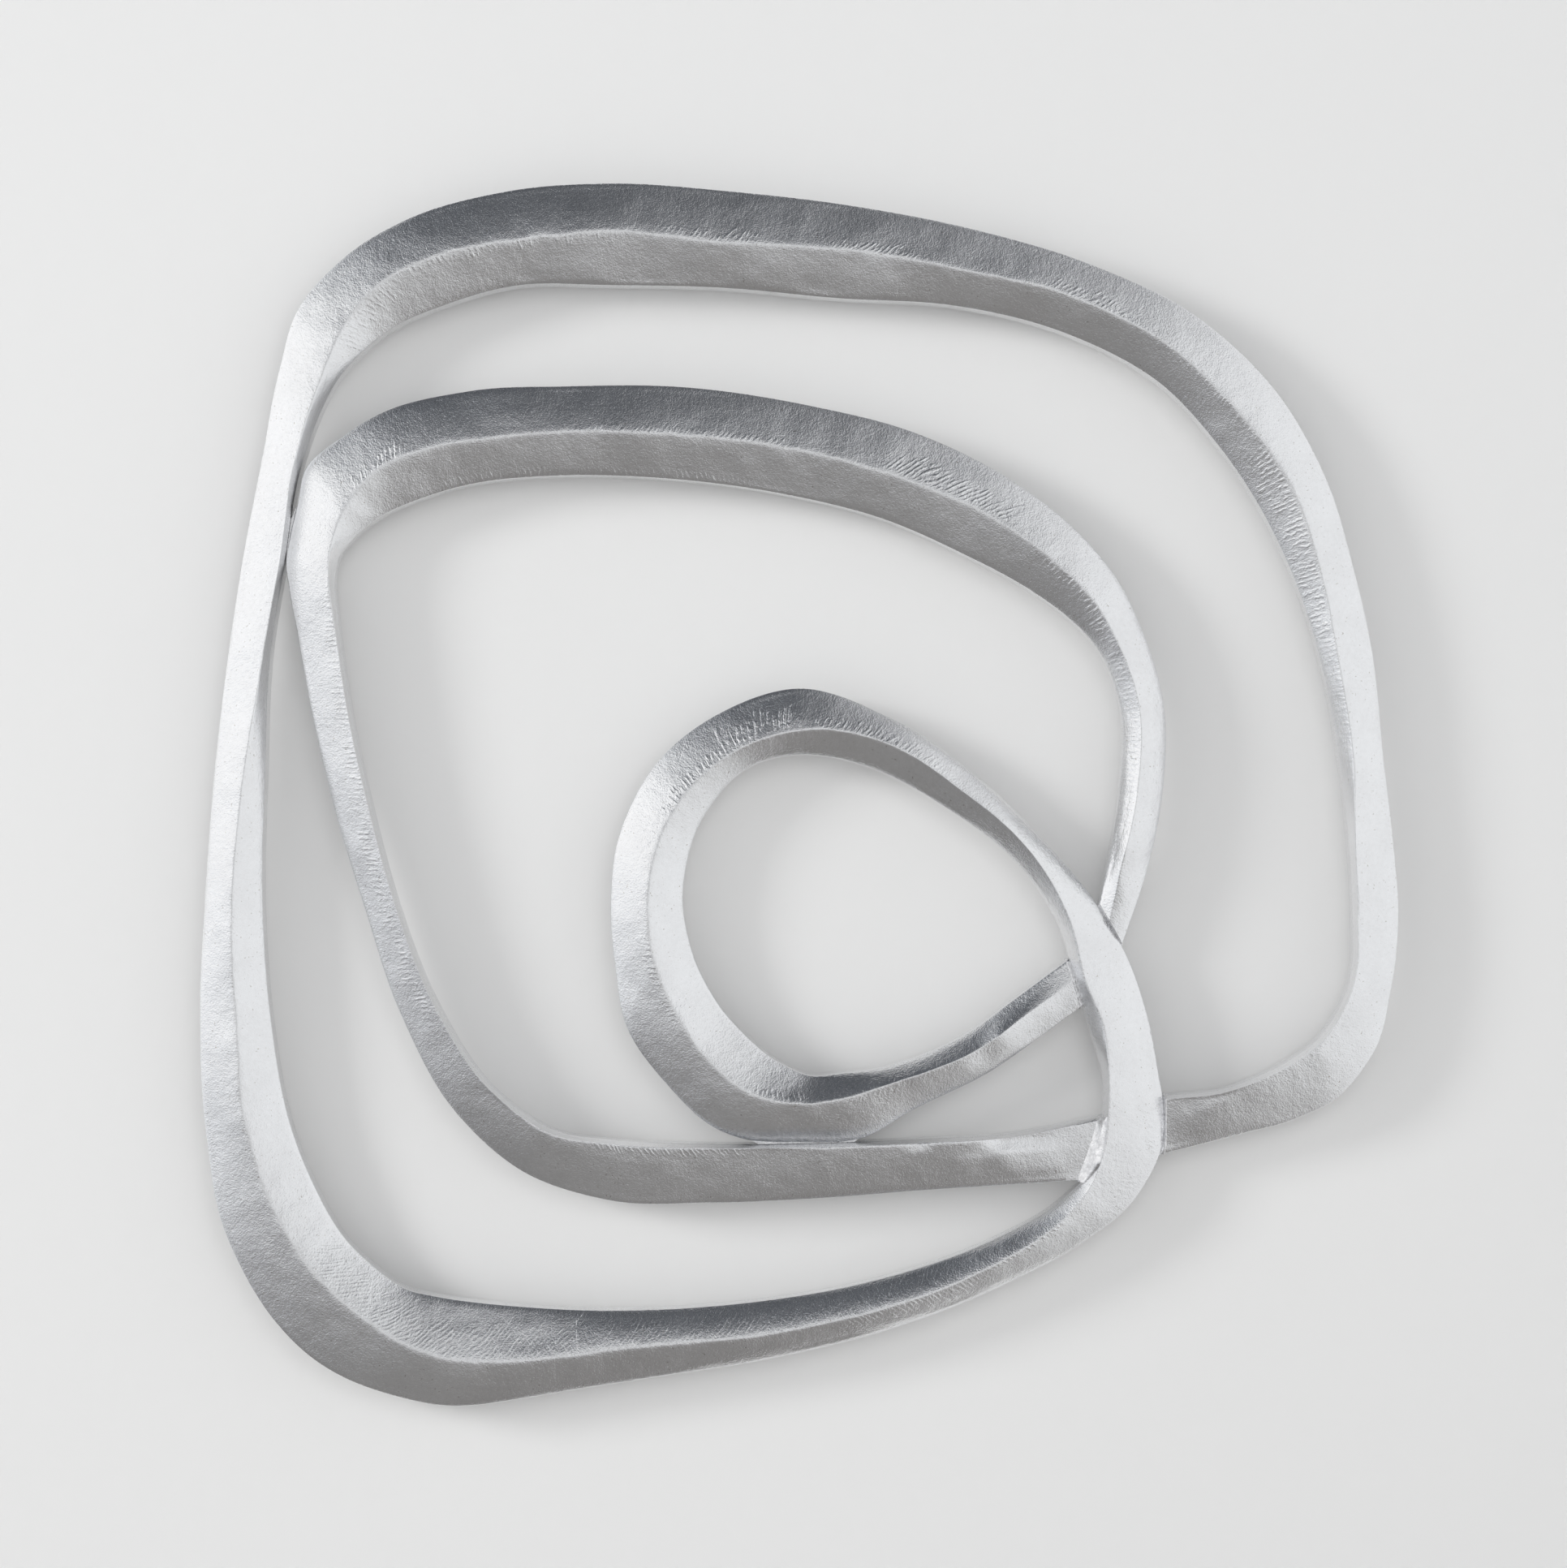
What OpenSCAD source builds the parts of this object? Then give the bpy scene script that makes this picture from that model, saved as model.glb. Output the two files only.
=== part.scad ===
// Abstract looped wall sculpture: two ridged hollow bands in leafed sheet steel, hung on two keyholes.
// Front faces -Y, the wall plane is Y = 0, Z is up. The origin is midway between the keyholes.

/* [Overall] */
// Overall width across the outer loop
sculpture_w = 916; // [700:1:1200]
// Overall height of the outer loop
sculpture_h = 933; // [700:1:1200]
// Largest step between two cross-sections along a band
ring_step = 12; // [8:0.5:20]

/* [Band section] */
// Distance of the bands' back sheet from the wall
stand_off = 18; // [14:0.5:26]
// Height of a band's side, from the back sheet to the folded edge
side_h = 20; // [14:0.5:28]
// Rise of the ridge above the folded edges
ridge_rise = 12; // [8:0.5:16]
// Thickness of the front sheet that is folded along the ridge
crown_t = 1.5; // [1:0.1:2]
// Thickness of the side strips
rim_t = 2; // [1.5:0.1:2.5]
// Thickness of the back sheet
back_t = 1.5; // [1:0.1:2.5]

/* [Hanging hardware] */
// Distance between the two keyholes
keyhole_spacing = 400; // [320:1:440]
// Radius of a keyhole's round entry
keyhole_r = 5.5; // [4.5:0.1:6.6]
// Width of a keyhole's slot
slot_w = 5.6; // [4.6:0.1:6.8]
// Length of the slot above the round entry's centre
slot_rise = 9; // [8:0.5:10]
// Width of a hanger's raised plate
hanger_plate_w = 25; // [22:1:30]
// Height of a hanger
hanger_h = 25; // [25:1:30]
// Sheet thickness of a hanger
hanger_t = 2; // [1.5:0.1:2.5]
// Radius of a lower spacer post
post_r = 10; // [8:0.5:12]
// Radius of a rubber bumper
bumper_r = 9; // [7:0.5:11]
// Thickness of a rubber bumper
bumper_t = 3; // [2:0.5:4]

/* [Hidden] */

silver = [0.80, 0.81, 0.82];
steel = [0.55, 0.56, 0.58];
black = [0.10, 0.10, 0.10];

sx = sculpture_w / 916;
sz = sculpture_h / 933;
edge_h = stand_off + side_h;
side_base = stand_off + back_t;
side_top = edge_h - crown_t;

// Stations along the long band: [outer x, outer z, inner x, inner z, place of the ridge across].
long_band = [
  [320, -679, 320, -635, 0.95], [375, -665, 364, -630, 0.95], [421, -652, 406, -613, 0.95],
  [452, -636, 425, -601, 0.95], [478, -604, 440, -588, 0.95], [492, -556, 460, -551, 0.95],
  [498, -499, 463, -497, 0.95], [494, -441, 460, -443, 0.91], [487, -380, 453, -380, 0.74],
  [478, -296, 439, -306, 0.71], [464, -233, 420, -245, 0.59], [442, -162, 391, -184, 0.50],
  [406, -99, 359, -137, 0.55], [344, -40, 313, -89, 0.56], [266, -1, 244, -53, 0.52],
  [173, 27, 160, -32, 0.55], [80, 45, 69, -26, 0.50], [-13, 56, -20, -18, 0.55],
  [-106, 62, -107, -16, 0.49], [-183, 56, -173, -16, 0.54], [-261, 34, -230, -31, 0.49],
  [-307, 6, -266, -46, 0.52], [-344, -36, -293, -66, 0.66], [-357, -79, -313, -89, 0.77],
  [-370, -145, -339.5, -151, 0.87], [-385, -223, -353, -228, 0.92], [-396, -295, -364, -298, 0.88],
  [-407, -388, -368, -391, 0.62], [-414, -481, -370, -484, 0.50], [-418, -574, -364, -574, 0.53],
  [-413, -667, -348, -660, 0.51], [-397, -744, -323, -719, 0.56], [-362, -806, -302, -750, 0.59],
  [-307, -851, -264, -781, 0.57], [-246, -870, -240, -788, 0.48], [-168, -866, -176, -796, 0.42],
  [-145, -862, -147, -798, 0.44], [-75, -851, -84, -799, 0.48], [18, -836, 11, -792, 0.45],
  [111, -813, 99, -776, 0.45], [204, -776, 189, -745, 0.53], [260, -745, 238, -717, 0.71],
  [298, -712, 267, -686, 0.94], [315, -681, 271, -670, 0.95], [318.5, -645, 273, -643, 0.95],
  [314, -614, 272.5, -624, 0.92], [306, -574, 262, -585, 0.78], [291, -530, 251, -548, 0.85],
  [266, -487, 238, -505, 0.73], [225, -438, 206, -457, 0.51], [173, -389, 152, -415, 0.47],
  [111, -347, 93, -384, 0.47], [36, -324, 37, -375, 0.64], [-30, -348, -4, -388, 0.67],
  [-75, -389, -33, -422, 0.61], [-99, -441, -45, -453, 0.55], [-104, -487, -49, -488, 0.52],
  [-101, -534, -41, -528, 0.51], [-90, -587, -26, -559, 0.57], [-59, -629, -11, -579, 0.53],
  [-18, -663, 20, -607, 0.55], [4, -669.5, 34, -614.5, 0.57], [37, -670.5, 47, -619.5, 0.59],
  [85, -668.5, 74, -618, 0.66], [127, -646, 109, -612.5, 0.68], [189, -615, 171, -586, 0.58],
  [223, -591, 201, -564, 0.58], [254.5, -568, 244.5, -532, 0.58]];

// Stations along the middle band, from its start on the riser round to its end on the riser.
middle_band = [
  [287, -519, 269.5, -488, 0.59], [303.5, -471, 275, -461, 0.67], [318, -402, 285, -400, 0.62],
  [318, -332, 285, -337, 0.61], [300, -274, 265, -290, 0.60], [284, -242, 243, -268, 0.52],
  [261, -213, 218, -250, 0.50], [204, -166, 166.5, -222, 0.48], [127, -128, 102, -194, 0.53],
  [49, -108, 35, -177, 0.51], [-44, -94, -48, -165, 0.53], [-137, -93, -137, -161.5, 0.53],
  [-214, -97, -205, -167, 0.55], [-276, -112, -246, -178, 0.53], [-307, -130, -271, -188, 0.56],
  [-337, -156, -283, -195, 0.65], [-343.5, -184, -294, -203, 0.67], [-349, -208, -304, -213, 0.75],
  [-352, -227, -311, -222, 0.83], [-350, -246, -315, -240, 0.91], [-344, -279, -312, -273, 0.94],
  [-331, -350, -302, -344, 0.95], [-313, -424, -286, -417, 0.95], [-292, -492, -268, -484, 0.95],
  [-264, -574, -238, -562, 0.95], [-220, -651, -194, -629, 0.95], [-168, -695, -148.5, -661, 0.95],
  [-106, -715, -100, -669, 0.95], [-28, -717, -29, -672, 0.95], [49, -714, 47, -671.5, 0.95],
  [142, -707, 140, -668, 0.95], [204, -703, 202, -664.5, 0.95], [255.5, -699.5, 270.5, -651, 0.95]];

// Where each fabricated length starts and ends, as station numbers.
cut_outer_right = [0, 9];
cut_outer_top = [9, 21];
cut_outer_left = [21, 30];
cut_outer_bottom = [30, 36];
cut_riser = [36, 49];
cut_centre_top = [49, 52];
cut_centre_left = [52, 57];
cut_centre_bottom = [57, 67];
cut_middle_right = [0, 6];
cut_middle_top = [6, 16];
cut_middle_left = [16, 24];
cut_middle_bottom = [24, 32];

// Smooth rail through the stations: a cubic per gap, with slopes that allow for uneven spacing.
function mid_point(s) = [(s[0] + s[2]) / 2, (s[1] + s[3]) / 2];
function gap_len(band, k) = norm(mid_point(band[k + 1]) - mid_point(band[k]));
function chord(band, k) = (band[k + 1] - band[k]) / gap_len(band, k);
function slope(band, k) =
  k == 0 ? chord(band, 0)
  : k == len(band) - 1 ? chord(band, k - 1)
  : let (before = gap_len(band, k - 1), after = gap_len(band, k))
    (chord(band, k - 1) * after + chord(band, k) * before) / (before + after);
function between(band, k, t) =
  let (g = gap_len(band, k), a = band[k], b = band[k + 1])
  a * (2 * t * t * t - 3 * t * t + 1) + slope(band, k) * g * (t * t * t - 2 * t * t + t)
  + b * (3 * t * t - 2 * t * t * t) + slope(band, k + 1) * g * (t * t * t - t * t);
function scaled(s) = [s[0] * sx, s[1] * sz, s[2] * sx, s[3] * sz, min(0.95, s[4])];
function rings(band, cut) = [
  for (k = [cut[0] : cut[1] - 1])
    let (n = max(1, round(gap_len(band, k) / ring_step)))
    for (j = [0 : n - 1]) scaled(between(band, k, j / n)),
  scaled(between(band, cut[1] - 1, 1))];

function outer_pt(s) = [s[0], s[1]];
function inner_pt(s) = [s[2], s[3]];
function band_w(s) = norm(inner_pt(s) - outer_pt(s));
function across(s, d) = outer_pt(s) + (inner_pt(s) - outer_pt(s)) * d / band_w(s);
function reversed(list) = [for (k = [len(list) - 1 : -1 : 0]) list[k]];

// Folded front sheet: eight corners a section, the underside offset square to both facets.
function crown_section(s) =
  let (w = band_w(s), ur = s[4] * w,
       rise_out = ridge_rise / ur, rise_in = ridge_rise / (w - ur),
       slant_out = sqrt(1 + rise_out * rise_out), slant_in = sqrt(1 + rise_in * rise_in),
       lip_out = crown_t * (slant_out - 1) / rise_out, lip_in = crown_t * (slant_in - 1) / rise_in,
       ui = (rise_in * w - crown_t * slant_in + crown_t * slant_out) / (rise_out + rise_in),
       vi = edge_h + rise_out * ui - crown_t * slant_out)
  [[0, side_top], [0, edge_h], [ur, edge_h + ridge_rise], [w, edge_h],
   [w, side_top], [w - lip_in, side_top], [ui, vi], [lip_out, side_top]];
function crown_ring(s) = [for (c = crown_section(s)) let (p = across(s, c[0])) [p[0], -c[1], p[1]]];

cap = [[0, 1, 7], [1, 2, 6], [1, 6, 7], [2, 3, 6], [3, 5, 6], [3, 4, 5]];

module crown(band, cut) {
  rs = rings(band, cut);
  n = len(rs);
  corners = [for (s = rs) each crown_ring(s)];
  walls = [for (k = [0 : n - 2]) for (j = [0 : 7])
    let (a = 8 * k + j, b = 8 * k + (j + 1) % 8) each [[a, a + 8, b + 8], [a, b + 8, b]]];
  start = [for (c = cap) [c[0], c[1], c[2]]];
  finish = [for (c = cap) [c[2], c[1], c[0]] + [8, 8, 8] * (n - 1)];
  color(silver) polyhedron(points = corners, faces = concat(start, walls, finish));
}

// Upright flat shape: an outline in X and Z, given depth from near to far off the wall.
module slab(outline, near, far) {
  translate([0, -near, 0]) rotate([90, 0, 0]) linear_extrude(far - near) polygon(outline);
}

module side_strip(band, cut, inner) {
  rs = rings(band, cut);
  face = [for (s = rs) inner ? inner_pt(s) : outer_pt(s)];
  behind = [for (s = rs) inner ? across(s, band_w(s) - rim_t) : across(s, rim_t)];
  color(silver) slab(concat(face, reversed(behind)), side_base, side_top);
}

module back_sheet(band, cut) {
  rs = rings(band, cut);
  color(steel) slab(concat([for (s = rs) outer_pt(s)], reversed([for (s = rs) inner_pt(s)])),
    stand_off, side_base);
}

// Weld fill between the end of a band and the side of the riser, from zlo to zhi on the riser.
module end_weld(end, wall_pts, zlo, zhi, far) {
  near_pts = [for (p = wall_pts) if (p[1] > zlo * sz && p[1] < zhi * sz) p];
  color(silver) slab(concat([outer_pt(end), inner_pt(end)], near_pts), stand_off, far);
}

// Weld fill along the line where two bands run side by side.
module side_weld(side_a, side_b, far) {
  color(silver) slab(concat(side_a, reversed(side_b)), stand_off, far);
}

module outer_right_crown() crown(long_band, cut_outer_right);
module outer_right_outer_side() side_strip(long_band, cut_outer_right, false);
module outer_right_inner_side() side_strip(long_band, cut_outer_right, true);
module outer_right_back() back_sheet(long_band, cut_outer_right);

module outer_top_crown() crown(long_band, cut_outer_top);
module outer_top_outer_side() side_strip(long_band, cut_outer_top, false);
module outer_top_inner_side() side_strip(long_band, cut_outer_top, true);
module outer_top_back() back_sheet(long_band, cut_outer_top);

module outer_left_crown() crown(long_band, cut_outer_left);
module outer_left_outer_side() side_strip(long_band, cut_outer_left, false);
module outer_left_inner_side() side_strip(long_band, cut_outer_left, true);
module outer_left_back() back_sheet(long_band, cut_outer_left);

module outer_bottom_crown() crown(long_band, cut_outer_bottom);
module outer_bottom_outer_side() side_strip(long_band, cut_outer_bottom, false);
module outer_bottom_inner_side() side_strip(long_band, cut_outer_bottom, true);
module outer_bottom_back() back_sheet(long_band, cut_outer_bottom);

module riser_crown() crown(long_band, cut_riser);
module riser_outer_side() side_strip(long_band, cut_riser, false);
module riser_inner_side() side_strip(long_band, cut_riser, true);
module riser_back() back_sheet(long_band, cut_riser);

module centre_top_crown() crown(long_band, cut_centre_top);
module centre_top_outer_side() side_strip(long_band, cut_centre_top, false);
module centre_top_inner_side() side_strip(long_band, cut_centre_top, true);
module centre_top_back() back_sheet(long_band, cut_centre_top);

module centre_left_crown() crown(long_band, cut_centre_left);
module centre_left_outer_side() side_strip(long_band, cut_centre_left, false);
module centre_left_inner_side() side_strip(long_band, cut_centre_left, true);
module centre_left_back() back_sheet(long_band, cut_centre_left);

module centre_bottom_crown() crown(long_band, cut_centre_bottom);
module centre_bottom_outer_side() side_strip(long_band, cut_centre_bottom, false);
module centre_bottom_inner_side() side_strip(long_band, cut_centre_bottom, true);
module centre_bottom_back() back_sheet(long_band, cut_centre_bottom);

module middle_right_crown() crown(middle_band, cut_middle_right);
module middle_right_outer_side() side_strip(middle_band, cut_middle_right, false);
module middle_right_inner_side() side_strip(middle_band, cut_middle_right, true);
module middle_right_back() back_sheet(middle_band, cut_middle_right);

module middle_top_crown() crown(middle_band, cut_middle_top);
module middle_top_outer_side() side_strip(middle_band, cut_middle_top, false);
module middle_top_inner_side() side_strip(middle_band, cut_middle_top, true);
module middle_top_back() back_sheet(middle_band, cut_middle_top);

module middle_left_crown() crown(middle_band, cut_middle_left);
module middle_left_outer_side() side_strip(middle_band, cut_middle_left, false);
module middle_left_inner_side() side_strip(middle_band, cut_middle_left, true);
module middle_left_back() back_sheet(middle_band, cut_middle_left);

module middle_bottom_crown() crown(middle_band, cut_middle_bottom);
module middle_bottom_outer_side() side_strip(middle_band, cut_middle_bottom, false);
module middle_bottom_inner_side() side_strip(middle_band, cut_middle_bottom, true);
module middle_bottom_back() back_sheet(middle_band, cut_middle_bottom);

// Riser side that faces the outside, in walking order: upwards.
riser_outside = [for (s = rings(long_band, [43, 49])) outer_pt(s)];
riser_inside = [for (s = rings(long_band, [41, 49])) inner_pt(s)];

module weld_outer_end()
  end_weld(scaled(long_band[0]), reversed(riser_outside), -679, -638, edge_h);
module weld_centre_end()
  end_weld(scaled(long_band[len(long_band) - 1]), reversed(riser_inside), -570, -534, edge_h);
module weld_middle_start()
  end_weld(scaled(middle_band[0]), reversed(riser_outside), -520, -490, edge_h);
module weld_middle_end()
  end_weld(scaled(middle_band[len(middle_band) - 1]), reversed(riser_inside), -698, -653, edge_h);
left_contact_mid = [for (s = rings(middle_band, [16, 18])) outer_pt(s)];
left_contact_long = [for (s = rings(long_band, [24, 25]))
  if (s[3] < -184 * sz && s[3] > -227 * sz) inner_pt(s)];
lower_contact_centre = [for (s = rings(long_band, [61, 63])) outer_pt(s)];
lower_contact_mid = [for (s = rings(middle_band, [28, 30]))
  if (s[2] > 4 * sx && s[2] < 86 * sx) inner_pt(s)];

module weld_left_contact() side_weld(left_contact_mid, left_contact_long, edge_h);
module weld_lower_contact() side_weld(lower_contact_centre, lower_contact_mid, edge_h);

// Hat-shaped hanger: two feet on the back sheet, a raised plate on the wall with a keyhole in it.
module hanger(x) {
  foot_w = 10;
  color(steel) difference() {
    translate([x - hanger_plate_w / 2 - foot_w, -stand_off, -hanger_h / 2])
      cube([hanger_plate_w + 2 * foot_w, stand_off, hanger_h]);
    translate([x - hanger_plate_w / 2 + hanger_t, -stand_off - 1, -hanger_h])
      cube([hanger_plate_w - 2 * hanger_t, stand_off + 1 - hanger_t, 2 * hanger_h]);
    for (side = [-1, 1])
      translate([x + side * (hanger_plate_w + foot_w + 2) / 2 - foot_w / 2 - 1,
                 -stand_off + hanger_t, -hanger_h])
        cube([foot_w + 2, stand_off, 2 * hanger_h]);
    translate([x, 1, 0]) rotate([90, 0, 0]) cylinder(r = keyhole_r, h = hanger_t + 2, $fn = 48);
    translate([x, 1, slot_rise]) rotate([90, 0, 0]) cylinder(r = slot_w / 2, h = hanger_t + 2, $fn = 32);
    translate([x - slot_w / 2, -hanger_t - 1, 0]) cube([slot_w, hanger_t + 2, slot_rise]);
  }
}

module hanger_left() hanger(-keyhole_spacing / 2);
module hanger_right() hanger(keyhole_spacing / 2);

post_left_at = [-288 * sx, -814 * sz];
post_right_at = [439 * sx, -618 * sz];

module post(at) {
  color(steel) translate([at[0], -bumper_t, at[1]]) rotate([90, 0, 0])
    cylinder(r = post_r, h = stand_off - bumper_t, $fn = 48);
}

module bumper(at) {
  color(black) translate([at[0], 0, at[1]]) rotate([90, 0, 0]) cylinder(r = bumper_r, h = bumper_t, $fn = 48);
}

module post_left() post(post_left_at);
module post_right() post(post_right_at);
module bumper_left() bumper(post_left_at);
module bumper_right() bumper(post_right_at);

outer_right_crown();
outer_right_outer_side();
outer_right_inner_side();
outer_right_back();
outer_top_crown();
outer_top_outer_side();
outer_top_inner_side();
outer_top_back();
outer_left_crown();
outer_left_outer_side();
outer_left_inner_side();
outer_left_back();
outer_bottom_crown();
outer_bottom_outer_side();
outer_bottom_inner_side();
outer_bottom_back();
riser_crown();
riser_outer_side();
riser_inner_side();
riser_back();
centre_top_crown();
centre_top_outer_side();
centre_top_inner_side();
centre_top_back();
centre_left_crown();
centre_left_outer_side();
centre_left_inner_side();
centre_left_back();
centre_bottom_crown();
centre_bottom_outer_side();
centre_bottom_inner_side();
centre_bottom_back();
middle_right_crown();
middle_right_outer_side();
middle_right_inner_side();
middle_right_back();
middle_top_crown();
middle_top_outer_side();
middle_top_inner_side();
middle_top_back();
middle_left_crown();
middle_left_outer_side();
middle_left_inner_side();
middle_left_back();
middle_bottom_crown();
middle_bottom_outer_side();
middle_bottom_inner_side();
middle_bottom_back();
weld_outer_end();
weld_centre_end();
weld_middle_start();
weld_middle_end();
weld_left_contact();
weld_lower_contact();
hanger_left();
hanger_right();
post_left();
post_right();
bumper_left();
bumper_right();
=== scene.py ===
import math
import bpy
import bmesh
import numpy as np
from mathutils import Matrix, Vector


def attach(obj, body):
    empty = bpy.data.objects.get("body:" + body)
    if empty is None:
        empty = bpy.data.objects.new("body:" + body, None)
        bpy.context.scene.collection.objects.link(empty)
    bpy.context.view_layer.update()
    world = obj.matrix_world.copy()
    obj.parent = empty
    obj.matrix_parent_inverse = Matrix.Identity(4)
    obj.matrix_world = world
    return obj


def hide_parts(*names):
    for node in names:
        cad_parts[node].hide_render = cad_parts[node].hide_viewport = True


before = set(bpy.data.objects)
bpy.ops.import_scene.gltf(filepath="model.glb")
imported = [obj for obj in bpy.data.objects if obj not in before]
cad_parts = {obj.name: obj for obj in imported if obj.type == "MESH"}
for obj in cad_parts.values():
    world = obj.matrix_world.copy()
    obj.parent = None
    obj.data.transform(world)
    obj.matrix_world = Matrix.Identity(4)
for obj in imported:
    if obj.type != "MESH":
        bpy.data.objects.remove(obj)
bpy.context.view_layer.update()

# sizes in millimetres
section = {
    "standOff": 18.0,        # back sheet to the wall
    "sideHeight": 20.0,      # back sheet to the folded edge
    "ridgeRise": 12.0,       # folded edge to the ridge
    "crownSheet": 1.5,
    "sideSheet": 2.0,
    "backSheet": 1.5,
    "foldRadius": 0.9,       # rounding where the front sheet turns over the edge
    "wallChamfer": 0.25,     # corners of the side walls
    "ridgeSoft": 0.45,       # how far the ridge is rounded off
    "bulge": 1.30,           # steepness at the edge against the facet's mean: 1 is flat
    "innerBulge": 1.14,
    "edgeRidge": 0.9,        # from this share on the ridge keeps to the edge and doesn't waver
    # waver of the ridge: share of the width, length along, shift of the pattern
    "ridgeWaver": [(0.012, 34, 0.5), (0.006, 11, 4.5)],
    # long swells, hammer dents and fine unevenness: height, length along, breadth across, shift
    "swells": [(0.55, 46, 34, 9), (0.19, 15, 11, 0), (0.045, 4.5, 3.6, 0)],
    "seamDepth": 0.07,
    "seamWidth": 0.7,
    "alongStep": 0.95,       # spacing of the fine cross-sections
    "wallStep": 3.0,
    "backStep": 4.0,
    "outerColumns": 28,
    "innerColumns": 24,
    "crowding": 1.35,        # 1 is even, more sets the columns closer at the ridge
}
foldedEdge = section["standOff"] + section["sideHeight"]

# each station: outer edge x, z, inner edge x, z, place of the ridge across the band
longBand = {
    "seed": 11,
    "stations": [
        (320, -679, 320, -635, 0.95), (375, -665, 364, -630, 0.95), (421, -652, 406, -613, 0.95),
        (452, -636, 425, -601, 0.95), (478, -604, 440, -588, 0.95), (492, -556, 460, -551, 0.95),
        (498, -499, 463, -497, 0.95), (494, -441, 460, -443, 0.91), (487, -380, 453, -380, 0.74),
        (478, -296, 439, -306, 0.71), (464, -233, 420, -245, 0.59), (442, -162, 391, -184, 0.50),
        (406, -99, 359, -137, 0.55), (344, -40, 313, -89, 0.56), (266, -1, 244, -53, 0.52),
        (173, 27, 160, -32, 0.55), (80, 45, 69, -26, 0.50), (-13, 56, -20, -18, 0.55),
        (-106, 62, -107, -16, 0.49), (-183, 56, -173, -16, 0.54), (-261, 34, -230, -31, 0.49),
        (-307, 6, -266, -46, 0.52), (-344, -36, -293, -66, 0.66), (-357, -79, -313, -89, 0.77),
        (-370, -145, -339.5, -151, 0.87), (-385, -223, -353, -228, 0.92), (-396, -295, -364, -298, 0.88),
        (-407, -388, -368, -391, 0.62), (-414, -481, -370, -484, 0.50), (-418, -574, -364, -574, 0.53),
        (-413, -667, -348, -660, 0.51), (-397, -744, -323, -719, 0.56), (-362, -806, -302, -750, 0.59),
        (-307, -851, -264, -781, 0.57), (-246, -870, -240, -788, 0.48), (-168, -866, -176, -796, 0.42),
        (-145, -862, -147, -798, 0.44), (-75, -851, -84, -799, 0.48), (18, -836, 11, -792, 0.45),
        (111, -813, 99, -776, 0.45), (204, -776, 189, -745, 0.53), (260, -745, 238, -717, 0.71),
        (298, -712, 267, -686, 0.94), (315, -681, 271, -670, 0.95), (318.5, -645, 273, -643, 0.95),
        (314, -614, 272.5, -624, 0.92), (306, -574, 262, -585, 0.78), (291, -530, 251, -548, 0.85),
        (266, -487, 238, -505, 0.73), (225, -438, 206, -457, 0.51), (173, -389, 152, -415, 0.47),
        (111, -347, 93, -384, 0.47), (36, -324, 37, -375, 0.64), (-30, -348, -4, -388, 0.67),
        (-75, -389, -33, -422, 0.61), (-99, -441, -45, -453, 0.55), (-104, -487, -49, -488, 0.52),
        (-101, -534, -41, -528, 0.51), (-90, -587, -26, -559, 0.57), (-59, -629, -11, -579, 0.53),
        (-18, -663, 20, -607, 0.55), (4, -669.5, 34, -614.5, 0.57), (37, -670.5, 47, -619.5, 0.59),
        (85, -668.5, 74, -618, 0.66), (127, -646, 109, -612.5, 0.68), (189, -615, 171, -586, 0.58),
        (223, -591, 201, -564, 0.58), (254.5, -568, 244.5, -532, 0.58)],
    # first and last station of each length
    "lengths": {"outer_right": (0, 9), "outer_top": (9, 21), "outer_left": (21, 30), "outer_bottom": (30, 36),
                "riser": (36, 49), "centre_top": (49, 52), "centre_left": (52, 57), "centre_bottom": (57, 67)},
    "seams": [36],
    # tool strokes: first and last station, facet, nearest and farthest from the ridge, slant, depth
    "strokes": [
        (13.5, 14.3, "outer", 1, 15, 0.7, 0.14), (15.4, 16.1, "outer", 1, 12, 0.9, 0.20),
        (16.7, 17.5, "outer", 1, 15, 0.7, 0.12), (17.9, 20.6, "inner", 0, 12, 0.15, 0.13),
        (9.2, 11.6, "inner", 2, 30, 0.05, 0.12), (11.6, 13.4, "inner", 0, 9, 0.2, 0.08),
        (20.6, 22.2, "inner", 2, 26, 0.3, 0.08), (7.6, 9.2, "inner", 0, 20, 0.0, 0.07),
        (31.6, 36.4, "inner", 2, 40, -1.0, 0.06), (36.4, 39.6, "inner", 2, 30, -0.9, 0.05),
        (38.6, 39.8, "outer", 1, 16, -0.7, 0.12), (39.9, 40.9, "outer", 0, 7, -0.8, 0.17),
        (41.0, 42.6, "outer", 22, 40, -0.5, 0.05), (43.0, 44.2, "outer", 32, 44, 0.2, 0.12),
        (50.3, 51.8, "outer", 1, 16, 0.4, 0.12), (51.9, 53.0, "outer", 4, 30, 0.15, 0.16),
        (53.0, 54.4, "outer", 0, 16, 0.1, 0.16), (56.5, 58.2, "outer", 0, 12, 0.2, 0.09),
        (60.0, 62.0, "inner", 1, 12, 0.6, 0.10), (62.6, 65.2, "outer", 1, 12, 0.8, 0.07)],
    # inner facet fuller towards the ridge: first and last station, extra steepness at the edge
    "rounder": [(36.2, 41.5, 0.42)],
    # beaten flatter towards a butt weld: how far back at the outer and inner edge, and the height kept
    "flatEnds": [{"atStart": False, "outer": 110, "inner": 105, "keep": 0.14},
                 {"atStart": True, "outer": 50, "inner": 60, "keep": 0.60}],
}

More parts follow.
